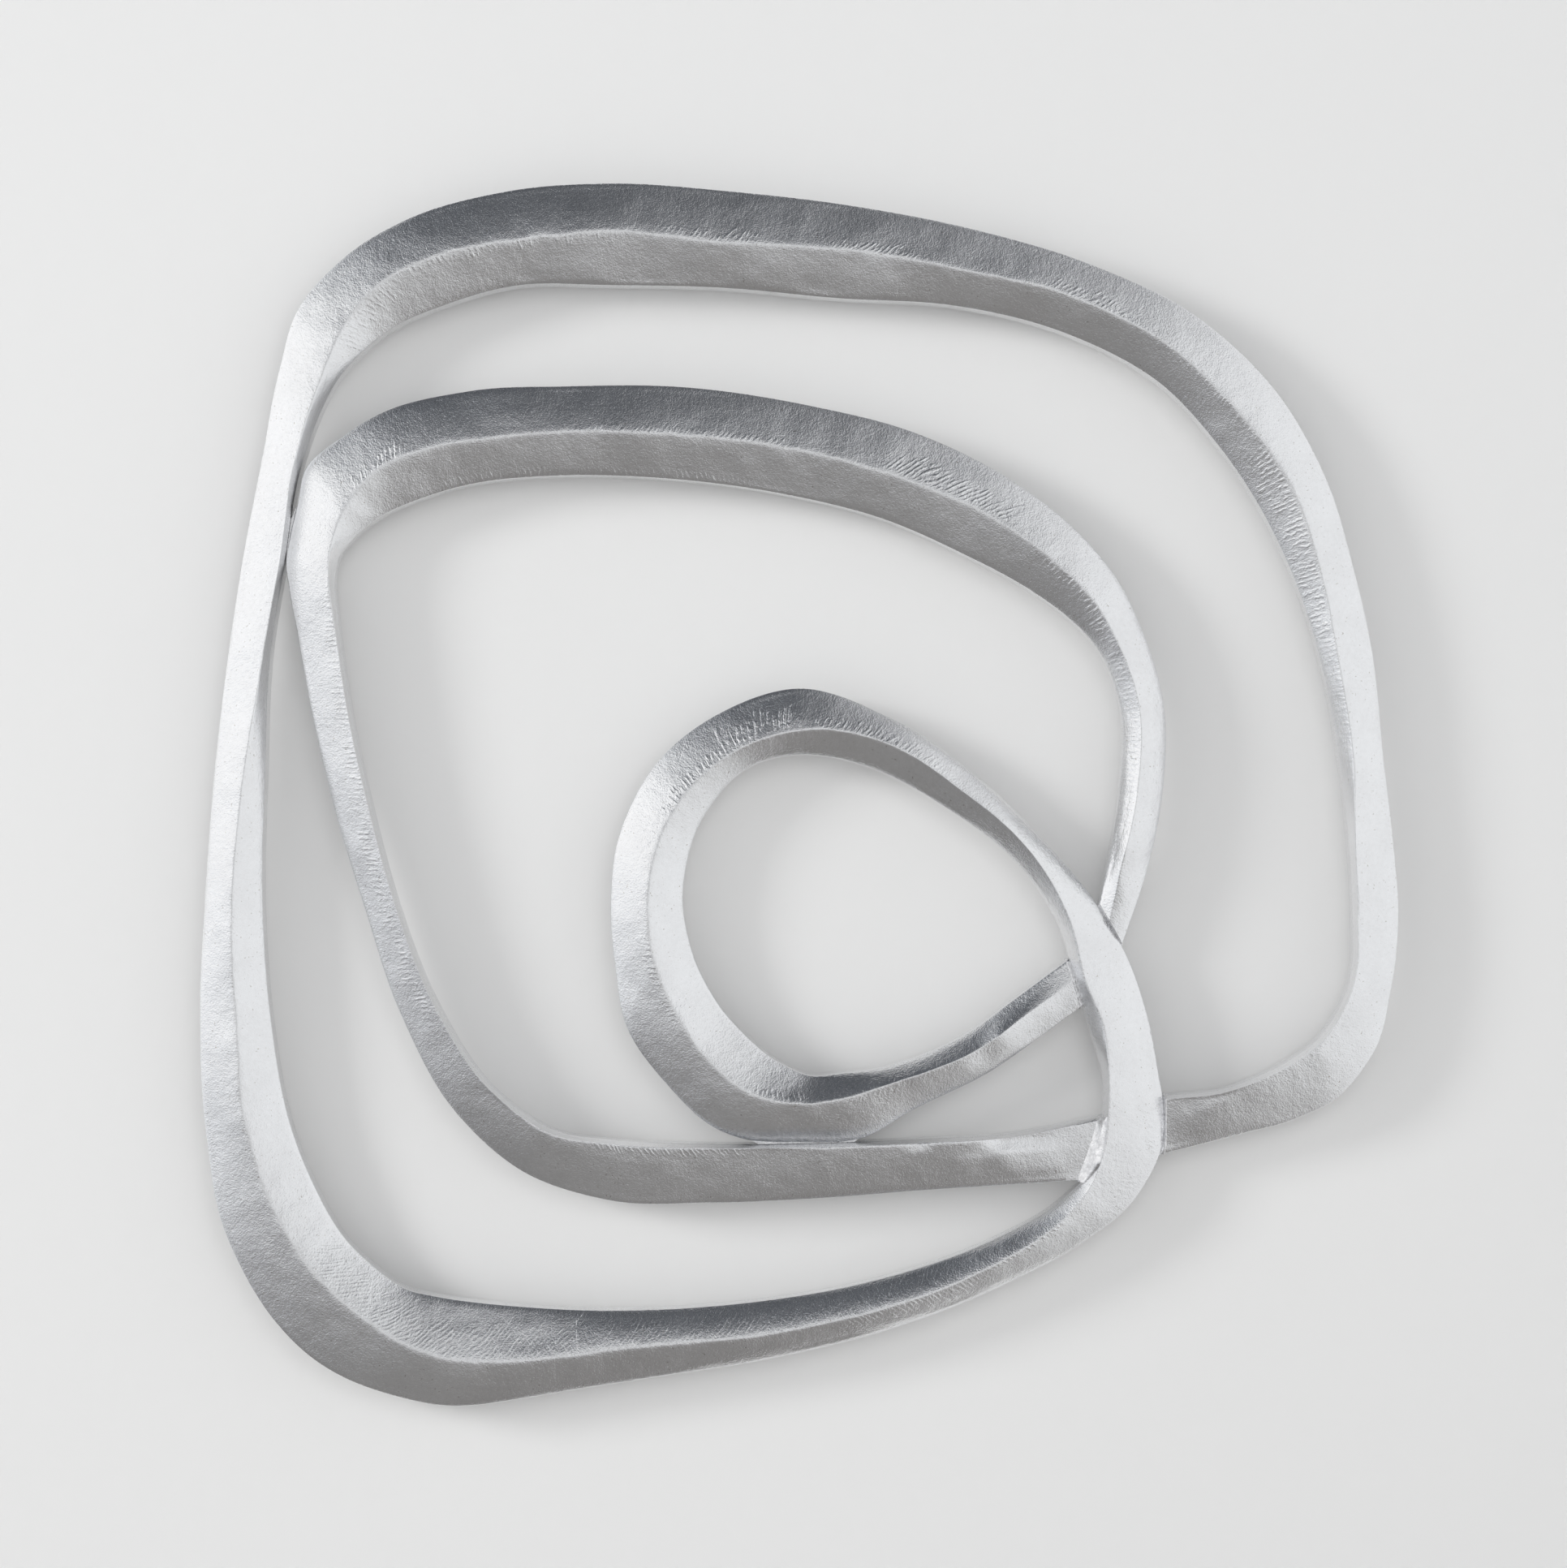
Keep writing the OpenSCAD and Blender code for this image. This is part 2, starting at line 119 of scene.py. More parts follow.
middleBand = {
    "seed": 31,
    "stations": [
        (287, -519, 269.5, -488, 0.59), (303.5, -471, 275, -461, 0.67), (318, -402, 285, -400, 0.62),
        (318, -332, 285, -337, 0.61), (300, -274, 265, -290, 0.60), (284, -242, 243, -268, 0.52),
        (261, -213, 218, -250, 0.50), (204, -166, 166.5, -222, 0.48), (127, -128, 102, -194, 0.53),
        (49, -108, 35, -177, 0.51), (-44, -94, -48, -165, 0.53), (-137, -93, -137, -161.5, 0.53),
        (-214, -97, -205, -167, 0.55), (-276, -112, -246, -178, 0.53), (-307, -130, -271, -188, 0.56),
        (-337, -156, -283, -195, 0.65), (-343.5, -184, -294, -203, 0.67), (-349, -208, -304, -213, 0.75),
        (-352, -227, -311, -222, 0.83), (-350, -246, -315, -240, 0.91), (-344, -279, -312, -273, 0.94),
        (-331, -350, -302, -344, 0.95), (-313, -424, -286, -417, 0.95), (-292, -492, -268, -484, 0.95),
        (-264, -574, -238, -562, 0.95), (-220, -651, -194, -629, 0.95), (-168, -695, -148.5, -661, 0.95),
        (-106, -715, -100, -669, 0.95), (-28, -717, -29, -672, 0.95), (49, -714, 47, -671.5, 0.95),
        (142, -707, 140, -668, 0.95), (204, -703, 202, -664.5, 0.95), (255.5, -699.5, 270.5, -651, 0.95)],
    "lengths": {"middle_right": (0, 6), "middle_top": (6, 16),
                "middle_left": (16, 24), "middle_bottom": (24, 32)},
    "seams": [],
    "strokes": [
        (1.0, 4.6, "inner", 2, 20, 0.0, 0.09), (4.6, 6.2, "inner", 0, 14, 0.1, 0.12),
        (6.8, 8.1, "outer", 2, 26, 0.8, 0.18), (9.0, 11.0, "outer", 0, 10, 0.6, 0.10),
        (11.2, 12.6, "inner", 25, 37, 0.2, 0.11), (9.4, 10.8, "inner", 26, 37, 0.3, 0.09),
        (13.0, 14.6, "outer", 1, 18, 0.4, 0.18), (19.0, 21.8, "outer", 0, 14, 0.2, 0.08),
        (21.8, 24.2, "outer", 4, 20, 0.3, 0.08), (26.6, 28.4, "outer", 0, 12, -0.9, 0.10)],
    "rounder": [],
    "flatEnds": [{"atStart": False, "outer": 50, "inner": 150, "keep": 0.24},
                 {"atStart": True, "outer": 80, "inner": 80, "keep": 0.25}],
}


def smoothNoise(x, y, seed):
    # lattice noise from -1 to 1, one cell a unit
    xi, yi = np.floor(x), np.floor(y)
    fx, fy = x - xi, y - yi
    fx, fy = fx * fx * (3 - 2 * fx), fy * fy * (3 - 2 * fy)

    def corner(a, b):
        h = np.sin(a * 127.1 + b * 311.7 + seed * 74.7) * 43758.5453
        return (h - np.floor(h)) * 2 - 1
    low = corner(xi, yi) * (1 - fx) + corner(xi + 1, yi) * fx
    high = corner(xi, yi + 1) * (1 - fx) + corner(xi + 1, yi + 1) * fx
    return low * (1 - fy) + high * fy


def softStep(low, high, v):
    t = np.clip((v - low) / (high - low), 0, 1)
    return t * t * (3 - 2 * t)


def bandRail(band):
    # stations, gap lengths and slopes: the same cubic rail as the solid model has
    st = np.array(band["stations"], float)
    middle = np.stack([(st[:, 0] + st[:, 2]) / 2, (st[:, 1] + st[:, 3]) / 2], 1)
    gap = np.linalg.norm(middle[1:] - middle[:-1], axis=1)
    chord = (st[1:] - st[:-1]) / gap[:, None]
    slope = np.vstack([chord[:1], chord[1:], chord[-1:]])[:len(st)].copy()
    slope[0], slope[-1] = chord[0], chord[-1]
    for k in range(1, len(st) - 1):
        slope[k] = (chord[k - 1] * gap[k] + chord[k] * gap[k - 1]) / (gap[k - 1] + gap[k])
    return {"st": st, "gap": gap, "slope": slope, "start": np.concatenate([[0], np.cumsum(gap)])}


def railAt(rail, place):
    # place is a station number with a fraction: returns outer xz, inner xz, ridge share, length so far
    k = np.clip(np.floor(place).astype(int), 0, len(rail["gap"]) - 1)
    t = (place - k)[:, None]
    g = rail["gap"][k][:, None]
    p = (rail["st"][k] * (2 * t**3 - 3 * t * t + 1) + rail["slope"][k] * g * (t**3 - 2 * t * t + t)
         + rail["st"][k + 1] * (3 * t * t - 2 * t**3) + rail["slope"][k + 1] * g * (t**3 - t * t))
    along = rail["start"][k] + t[:, 0] * rail["gap"][k]
    return p[:, 0:2], p[:, 2:4], np.minimum(0.95, p[:, 4]), along


def places(rail, cut, step):
    parts = []
    for k in range(cut[0], cut[1]):
        n = max(2, int(round(rail["gap"][k] / step)))
        parts.append(k + np.arange(n) / n)
    return np.concatenate(parts + [np.array([float(cut[1])])])


for band in (longBand, middleBand):
    band["rail"] = bandRail(band)


# meshes
def loopSweep(name, xyz, place=None, scored=None):
    # a sheet rolled into a closed tube through the given sections, with its ends closed
    # xyz is [along, round, 3] in metres
    rows, cols = xyz.shape[0], xyz.shape[1]
    bm = bmesh.new()
    bmesh.ops.create_grid(bm, x_segments=rows - 1, y_segments=cols, size=1.0)
    mesh = bpy.data.meshes.new(name)
    bm.to_mesh(mesh)
    flat = np.empty(len(mesh.vertices) * 3, np.float32)
    mesh.vertices.foreach_get("co", flat)
    flat = flat.reshape(-1, 3)
    i = np.rint((flat[:, 0] + 1) / 2 * (rows - 1)).astype(int)
    j = np.rint((flat[:, 1] + 1) / 2 * cols).astype(int)
    mesh.vertices.foreach_set("co", xyz[i, j % cols].astype(np.float32).ravel())
    if place is not None:
        layer = mesh.attributes.new("bandPlace", "FLOAT_VECTOR", "POINT")
        layer.data.foreach_set("vector", place[i, j % cols].astype(np.float32).ravel())
    if scored is not None:
        layer = mesh.attributes.new("scored", "FLOAT_VECTOR", "POINT")
        layer.data.foreach_set("vector", scored[i, j % cols].astype(np.float32).ravel())
    bm.clear()
    bm.from_mesh(mesh)
    bmesh.ops.remove_doubles(bm, verts=bm.verts, dist=1e-6)
    bmesh.ops.holes_fill(bm, edges=[e for e in bm.edges if e.is_boundary], sides=0)
    bmesh.ops.recalc_face_normals(bm, faces=bm.faces)
    bm.to_mesh(mesh)
    bm.free()
    mesh.shade_smooth()
    mesh.set_sharp_from_angle(angle=math.radians(38))
    piece = bpy.data.objects.new(name, mesh)
    bpy.context.scene.collection.objects.link(piece)
    return piece


def finishPiece(piece, material, slot, *nodes):
    piece.data.materials.clear()
    piece.data.materials.append(material)
    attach(piece, "root")
    if nodes:
        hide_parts(*nodes)


def toWorld(flat, depth):
    # flat is [..., 2] x and z in millimetres, depth is the distance off the wall
    out = np.empty(depth.shape + (3,))
    out[..., 0], out[..., 1], out[..., 2] = flat[..., 0], -depth, flat[..., 1]
    return out / 1000


def facetRise(q, bulge=None):
    b = section["bulge"] if bulge is None else bulge
    return q * (b + (1 - b) * q)


def crowded(j):
    return 1 - (1 - j) ** section["crowding"]


def crownProfile(width, ur, innerBulge):
    # top line of one section for every row: distances across and heights, [rows, columns]
    s = section
    edge = foldedEdge
    low = edge - s["crownSheet"]
    rise = s["ridgeRise"]
    w, r = width[:, None], ur[:, None]
    jo = np.arange(1, s["outerColumns"] + 1) / s["outerColumns"]
    ji = np.arange(s["innerColumns"] - 1, 0, -1) / s["innerColumns"]
    f = s["foldRadius"]
    fo = f * 0.9
    uo = fo + (r - fo) * crowded(jo)[None, :]
    fi = np.minimum(f * 0.9, (w - r) * 0.3)
    ui = (w - fi) - (w - fi - r) * crowded(ji)[None, :]
    u = np.concatenate([uo, ui], 1)
    outerV = edge + rise * facetRise(np.clip(u / r, 0, 2))
    across = (w - u) / (w - r)
    innerV = edge + rise * facetRise(np.clip(across, 0, 1), innerBulge)
    innerV = np.where(across > 1, edge + rise * (1 + (2 - innerBulge) * (across - 1)), innerV)
    outerV = np.where(u / r > 1, edge + rise * (1 + (2 - s["bulge"]) * (u / r - 1)), outerV)
    soft = s["ridgeSoft"] * np.minimum(1, (w - r) / 8)
    v = (outerV + innerV - np.sqrt((outerV - innerV) ** 2 + 4 * soft * soft)) / 2
    v = np.maximum(v, edge - 0.3)
    z = np.zeros_like(w)
    # the turned edges, rounded in shares of the fold radius
    z = np.zeros_like(w)
    first = [(z, z + low), (z, z + edge - f),
             (z + 0.12 * f, z + edge - 0.45 * f), (z + 0.45 * f, z + edge - 0.1 * f)]
    last = [(w - 0.45 * fi, z + edge - 0.1 * f), (w - 0.12 * fi, z + edge - 0.45 * f),
            (w, z + edge - f), (w, z + low)]
    across = np.concatenate([a for a, b in first] + [u] + [a for a, b in last], 1)
    height = np.concatenate([b for a, b in first] + [v] + [b for a, b in last], 1)
    return across, height


def underside(width, ur):
    # three corners under the sheet, offset square to both facets
    s = section
    t = s["crownSheet"]
    edge = foldedEdge
    mo, mi = s["ridgeRise"] / ur, s["ridgeRise"] / (width - ur)
    co, ci = np.sqrt(1 + mo * mo), np.sqrt(1 + mi * mi)
    ui = (mi * width - t * ci + t * co) / (mo + mi)
    vi = edge + mo * ui - t * co
    lo, li = t * (co - 1) / mo, t * (ci - 1) / mi
    low = edge - t + 0 * ur
    return np.stack([width - li, ui, lo], 1), np.stack([low, vi, low], 1)


stroke = {
    "spacing": 4.3,
    "idleSpacing": 3.0,      # the count goes on at this spacing where nothing is scored
    "fade": 0.15,            # stations over which a stroked area sets in and ends
    "waver": 0.5,            # of the spacing
    "waverLength": 14.0,
    "shortest": 0.62,        # mean length, as a share of the longest
    "spread": 0.38,
    "fullDepth": 0.15,       # a stroke this deep is fully scored
}


def strokeFields(band, place, along, fromRidge, onOuter):
    # how strongly each point is scored, which stroke it lies on, and the depth cut there
    s = stroke
    mask = np.zeros_like(fromRidge)
    count = along[:, None] / s["idleSpacing"] + 0 * fromRidge
    cutDepth = np.zeros_like(fromRidge)
    for n, (first, last, facet, near, far, slant, depth) in enumerate(band["strokes"]):
        rows = softStep(first - s["fade"], first + s["fade"], place)
        rows = rows * (1 - softStep(last - s["fade"], last + s["fade"], place))
        if not rows.any():
            continue
        side = onOuter if facet == "outer" else ~onOuter
        waver = s["waver"] * smoothNoise(along[:, None] / s["waverLength"], fromRidge * 0, n)
        phase = (along[:, None] + slant * fromRidge) / s["spacing"] + waver
        number = np.floor(phase)
        luck = smoothNoise(number * 1.7, number * 0 + 0.5, 20 + n)
        share = s["shortest"] + s["spread"] * smoothNoise(number * 1.3, number * 0 + 2.5, 40 + n)
        reach = near + (far - near) * share
        window = softStep(near - 1, near + 1.5, fromRidge) * (1 - softStep(reach - 3.5, reach, fromRidge))
        here = side * rows[:, None] * window * depth / s["fullDepth"]
        stronger = here > mask
        count = np.where(side & (rows[:, None] > 0), phase, count)
        mask = np.where(stronger, here, mask)
        groove = np.abs(np.sin(np.pi * phase)) ** 1.6 - 0.45
        cutDepth += side * rows[:, None] * window * depth * (0.9 + 0.8 * luck) * groove
    return mask, count, cutDepth


def endFlattening(band, along, across, width):
    # towards a butt weld the folded top was beaten down; 1 is full height
    keep = np.ones_like(across)
    for end in band["flatEnds"]:
        away = along if end["atStart"] else band["rail"]["start"][-1] - along
        reach = end["outer"] + (end["inner"] - end["outer"]) * across / width[:, None]
        wave = 1 + 0.25 * smoothNoise(across / 12, away[:, None] / 22, 5)
        keep = keep * (end["keep"] + (1 - end["keep"]) * softStep(-0.1, 1.0, away[:, None] / (reach * wave)))
    return keep


def crownMesh(band, name, cut):
    rail, seed = band["rail"], band["seed"]
    place = places(rail, cut, section["alongStep"])
    outer, inner, share, along = railAt(rail, place)
    wavers = share < section["edgeRidge"]
    for size, length, shift in section["ridgeWaver"]:
        share = share + size * smoothNoise(along / length, along * 0 + shift, seed) * wavers
    direction = inner - outer
    width = np.linalg.norm(direction, axis=1)
    direction = direction / width[:, None]
    ur = share * width
    rounder = np.zeros_like(place)
    for first, last, extra in band["rounder"]:
        rounder += (extra * softStep(first - 0.5, first + 0.5, place)
                    * (1 - softStep(last - 0.5, last + 0.5, place)))
    across, height = crownProfile(width, ur, (section["innerBulge"] + rounder)[:, None])
    top = across.shape[1]
    # form of the worked sheet: long swells, hammer dents, and the strokes
    live = softStep(1.5, 5, across) * softStep(1.0, 4.0, width[:, None] - across)
    a2, c2 = along[:, None] + 0 * across, across
    swell = sum(size * smoothNoise(a2 / length, c2 / breadth + shift, seed + n)
                for n, (size, length, breadth, shift) in enumerate(section["swells"]))
    onOuter = across < ur[:, None]
    mask, count, strokes = strokeFields(band, place, along, np.abs(across - ur[:, None]), onOuter)
    clear = softStep(0.3, 1.6, across) * softStep(0.3, 1.6, width[:, None] - across)
    edge = foldedEdge
    keep = endFlattening(band, along, np.clip(across, 0, width[:, None]), width)
    height = np.where(height > edge, edge + (height - edge) * keep, height) + live * swell + strokes * clear
    for station in band["seams"]:
        away = np.abs(along - rail["start"][station])[:, None]
        height -= section["seamDepth"] * np.exp(-(away / section["seamWidth"]) ** 2) * live
    lowU, lowV = underside(width, ur)
    lowV[:, 1] = edge + (lowV[:, 1] - edge) * keep[:, top // 2]
    u = np.concatenate([across, lowU], 1)
    v = np.concatenate([height, lowV], 1)
    flat = outer[:, None, :] + direction[:, None, :] * u[:, :, None]
    marks = np.zeros(u.shape + (3,))
    marks[..., 0] = along[:, None] / 1000
    marks[..., 1] = (u - ur[:, None]) / 1000
    marks[..., 2] = np.where(u < ur[:, None], u / ur[:, None], (width[:, None] - u) / (width - ur)[:, None])
    scored = np.zeros(u.shape + (3,))
    scored[:, :top, 0] = mask * clear
    scored[:, :top, 1] = count
    return loopSweep(name, toWorld(flat, v), marks, scored)


def stripMesh(rail, name, cut, near, far, inset, inner, step):
    # a strip of even thickness: a side wall (inset from one edge) or a back sheet (inset None)
    place = places(rail, cut, step)
    o, i, share, along = railAt(rail, place)
    width = np.linalg.norm(i - o, axis=1)[:, None]
    d = (i - o) / width
    if inset is None:
        a, b = o, i
    elif inner:
        a, b = i - d * inset, i
    else:
        a, b = o, o + d * inset
    c = section["wallChamfer"]
    middle = (near + far) / 2
    corners = [(a, near + c), (a, middle), (a, far - c), (a + d * c, far), (b - d * c, far),
               (b, far - c), (b, middle), (b, near + c), (b - d * c, near), (a + d * c, near)]
    if inset is None:
        corners = [(a, near), (a, far), (b, far), (b, near)]
    flat = np.stack([p for p, v in corners], 1)
    depth = np.stack([np.full(len(a), v) for p, v in corners], 1)
    marks = np.zeros(depth.shape + (3,))
    marks[..., 0] = along[:, None] / 1000
    marks[..., 1] = depth / 1000
    marks[..., 2] = 0.5
    return loopSweep(name, toWorld(flat, depth), marks)


# finishes
def addNode(tree, kind, **settings):
    made = tree.nodes.new(kind)
    for key, value in settings.items():
        setattr(made, key, value)
    return made


def noise(tree, vector, scale, detail=2.0, rough=0.5, distortion=0.0):
    n = addNode(tree, "ShaderNodeTexNoise")
    n.inputs["Scale"].default_value = scale
    n.inputs["Detail"].default_value = detail
    n.inputs["Roughness"].default_value = rough
    n.inputs["Distortion"].default_value = distortion
    tree.links.new(vector, n.inputs["Vector"])
    return n.outputs["Fac"]


def ramp(tree, source, stops):
    r = addNode(tree, "ShaderNodeValToRGB")
    while len(r.color_ramp.elements) > 1:
        r.color_ramp.elements.remove(r.color_ramp.elements[-1])
    for k, (at, value) in enumerate(stops):
        e = r.color_ramp.elements[0] if k == 0 else r.color_ramp.elements.new(at)
        e.position = at
        e.color = tuple(value) + (1,) if isinstance(value, (tuple, list)) else (value, value, value, 1)
    tree.links.new(source, r.inputs["Fac"])
    return r.outputs["Color"]


def maths(tree, operation, a, b=None):
    m = addNode(tree, "ShaderNodeMath", operation=operation)
    for socket, value in zip(m.inputs, (a, b)):
        if value is None:
            continue
        if isinstance(value, (int, float)):
            socket.default_value = value
        else:
            tree.links.new(value, socket)
    return m.outputs[0]


def stretched(tree, vector, size, turn=(0, 0, 0)):
    m = addNode(tree, "ShaderNodeMapping")
    m.inputs["Scale"].default_value = size
    m.inputs["Rotation"].default_value = turn
    tree.links.new(vector, m.inputs["Vector"])
    return m.outputs["Vector"]


def mixed(tree, factor, a, b):
    made = addNode(tree, "ShaderNodeMix", data_type="RGBA")
    for key, value in (("Factor", factor), ("A", a), ("B", b)):
        if isinstance(value, tuple):
            made.inputs[key].default_value = value + (1,)
        else:
            tree.links.new(value, made.inputs[key])
    return made.outputs["Result"]


def bumped(tree, height, distance, strength=1.0, under=None):
    made = addNode(tree, "ShaderNodeBump")
    made.inputs["Strength"].default_value = strength
    made.inputs["Distance"].default_value = distance
    tree.links.new(height, made.inputs["Height"])
    if under is not None:
        tree.links.new(under, made.inputs["Normal"])
    return made.outputs["Normal"]


def newMaterial(name, **uniform):
    m = bpy.data.materials.new(name)
    m.use_nodes = True
    shader = m.node_tree.nodes["Principled BSDF"]
    for key, value in uniform.items():
        shader.inputs[key.replace("_", " ")].default_value = value
    return m, m.node_tree, shader


leaf = {
    "bright": (0.92, 0.925, 0.935),
    "dull": (0.86, 0.862, 0.87),
    "tarnish": (0.62, 0.60, 0.57),
    "smoothest": 0.11,
    "roughest": 0.21,
    "grain": 0.00042,       # height of the fine grain, metres
    "streak": 0.00005,      # height of the brush streaks
    "marks": 4.6,           # tool marks against the streaks
    # sizes of the patterns, in repeats a metre
    "cloudScale": 26,
    "fleckScale": 300,
    "grainScale": 900,
    "pitScale": 620,
    # the two ways of brushing: stretch and turn
    "slanted": ((420, 110, 0.4), (0, 0, 0.6)),
    "lengthwise": ((30, 420, 0.4), (0, 0, 0.0)),
}


def toolMarks(t):
    # crisp scores where the mesh says that the sheet was scored
    parts = addNode(t, "ShaderNodeSeparateXYZ")
    t.links.new(addNode(t, "ShaderNodeAttribute", attribute_name="scored").outputs["Vector"], parts.inputs[0])
    place = addNode(t, "ShaderNodeTexCoord").outputs["Object"]
    bend = maths(t, "MULTIPLY", noise(t, place, 140, 2, 0.6), 0.7)
    wave = maths(t, "SINE", maths(t, "MULTIPLY", maths(t, "ADD", parts.outputs["Y"], bend), 2 * math.pi))
    ridge = ramp(t, maths(t, "ADD", maths(t, "MULTIPLY", wave, 0.5), 0.5), [(0.25, 0.0), (0.9, 1.0)])
    luck = ramp(t, noise(t, place, 210, 1, 0.5), [(0.35, 0.15), (0.6, 1.0)])
    scored = maths(t, "MULTIPLY", parts.outputs["X"], luck)
    return maths(t, "MULTIPLY", maths(t, "MULTIPLY", ridge, leaf["marks"]), scored)


def silverLeaf(name, dull=0.0):
    m, t, shader = newMaterial(name, Metallic=1.0)
    place = addNode(t, "ShaderNodeTexCoord").outputs["Object"]
    along = addNode(t, "ShaderNodeAttribute", attribute_name="bandPlace").outputs["Vector"]
    cloud = noise(t, place, leaf["cloudScale"], 4, 0.6)
    fleck = noise(t, place, leaf["fleckScale"], 3, 0.65)
    grain = noise(t, place, leaf["grainScale"], 2, 0.6)
    streaks = noise(t, stretched(t, along, *leaf["slanted"]), 1.0, 3, 0.6, 0.4)
    lengthwise = noise(t, stretched(t, along, *leaf["lengthwise"]), 1.0, 3, 0.6, 0.3)
    patch = maths(t, "ADD", maths(t, "MULTIPLY", cloud, 0.6), maths(t, "MULTIPLY", fleck, 0.4))
    colour = mixed(t, ramp(t, patch, [(0.36 + dull, 0.0), (0.60 + dull, 1.0)]), leaf["dull"], leaf["bright"])
    # tiny dark pits where the leaf did not take
    pits = ramp(t, noise(t, place, leaf["pitScale"], 1, 0.5), [(0.23, 1.0), (0.29, 0.0)])
    t.links.new(mixed(t, pits, colour, leaf["tarnish"]), shader.inputs["Base Color"])
    rough = maths(t, "ADD", maths(t, "MULTIPLY", cloud, 0.30), maths(t, "MULTIPLY", streaks, 0.22))
    level = addNode(t, "ShaderNodeMapRange")
    t.links.new(rough, level.inputs["Value"])
    level.inputs["From Min"].default_value = 0.17
    level.inputs["From Max"].default_value = 0.35
    level.inputs["To Min"].default_value = leaf["smoothest"] + dull
    level.inputs["To Max"].default_value = leaf["roughest"] + dull
    t.links.new(level.outputs["Result"], shader.inputs["Roughness"])
    fine = maths(t, "ADD", maths(t, "MULTIPLY", grain, 0.55), maths(t, "MULTIPLY", fleck, 0.6))
    brushed = maths(t, "ADD", streaks, maths(t, "MULTIPLY", lengthwise, 0.6))
    height = maths(t, "ADD", brushed, toolMarks(t))
    normal = bumped(t, height, leaf["streak"], under=bumped(t, fine, leaf["grain"]))
    t.links.new(normal, shader.inputs["Normal"])
    return m


weldFinish = {
    "hollows": (0.66, 0.66, 0.67),
    "crests": (0.94, 0.94, 0.95),
    "roughness": (0.20, 0.42),
    "lumpScale": 330,
    "patchScale": 190,
    "lumpHeight": 0.0004,
}


def weldLeaf(name):
    look = weldFinish
    m, t, shader = newMaterial(name, Metallic=1.0)
    place = addNode(t, "ShaderNodeTexCoord").outputs["Object"]
    lumps = noise(t, place, look["lumpScale"], 3, 0.6)
    colour = ramp(t, lumps, [(0.3, look["hollows"]), (0.62, look["crests"])])
    t.links.new(colour, shader.inputs["Base Color"])
    smooth, rough = look["roughness"]
    level = ramp(t, noise(t, place, look["patchScale"], 2, 0.5), [(0.3, smooth), (0.7, rough)])
    t.links.new(level, shader.inputs["Roughness"])
    t.links.new(bumped(t, lumps, look["lumpHeight"]), shader.inputs["Normal"])
    return m


steelFinish = {
    "darker": (0.46, 0.46, 0.47),
    "lighter": (0.56, 0.56, 0.57),
    "roughness": (0.34, 0.50),
    "patchScale": 60,
    "lineStretch": (60, 60, 2600),
    "lineHeight": 0.00008,
    "lineStrength": 0.6,
}


def plainSteel(name):
    look = steelFinish
    m, t, shader = newMaterial(name, Metallic=1.0)
    place = addNode(t, "ShaderNodeTexCoord").outputs["Object"]
    patches = noise(t, place, look["patchScale"], 3)
    colour = ramp(t, patches, [(0.35, look["darker"]), (0.65, look["lighter"])])
    t.links.new(colour, shader.inputs["Base Color"])
    drawn = noise(t, stretched(t, place, look["lineStretch"]), 1.0, 2, 0.6)
    smooth, rough = look["roughness"]
    t.links.new(ramp(t, drawn, [(0.3, smooth), (0.7, rough)]), shader.inputs["Roughness"])
    t.links.new(bumped(t, drawn, look["lineHeight"], look["lineStrength"]), shader.inputs["Normal"])
    return m


rubberFinish = {
    "shade": (0.045, 0.075),
    "roughness": (0.6, 0.75),
    "spotScale": 900,
}


def rubber(name):
    look = rubberFinish
    m, t, shader = newMaterial(name, Metallic=0.0)
    place = addNode(t, "ShaderNodeTexCoord").outputs["Object"]
    spots = noise(t, place, look["spotScale"], 2)
    for socket, (low, high) in (("Base Color", look["shade"]), ("Roughness", look["roughness"])):
        t.links.new(ramp(t, spots, [(0.3, low), (0.7, high)]), shader.inputs[socket])
    return m


leafMaterial = silverLeaf("silverLeaf")
sideMaterial = silverLeaf("silverLeafSides", 0.05)
backMaterial = silverLeaf("silverLeafBack", 0.08)
weldMaterial = weldLeaf("leafedWeld")
steelMaterial = plainSteel("plainSteel")
rubberMaterial = rubber("bumperRubber")

# bands
for band in (longBand, middleBand):
    for length, cut in band["lengths"].items():
        s, rail = section, band["rail"]
        off = s["standOff"]
        start, *others = length.split("_")
        name = start + "".join(word.capitalize() for word in others)
        top = crownMesh(band, name + "Face", cut)
        finishPiece(top, leafMaterial, "silver_leaf", length + "_crown")
        near, far = off + s["backSheet"], foldedEdge - s["crownSheet"]
        for inner, part, node in ((False, "OuterWall", "_outer_side"), (True, "InnerWall", "_inner_side")):
            wall = stripMesh(rail, name + part, cut, near, far, s["sideSheet"], inner, s["wallStep"])
            finishPiece(wall, sideMaterial, "silver_leaf", length + node)
        sheet = stripMesh(rail, name + "Back", cut, off, near, None, False, s["backStep"])
        finishPiece(sheet, backMaterial, "silver_leaf", length + "_back")
        print("made", name, len(top.data.polygons), "faces on top")

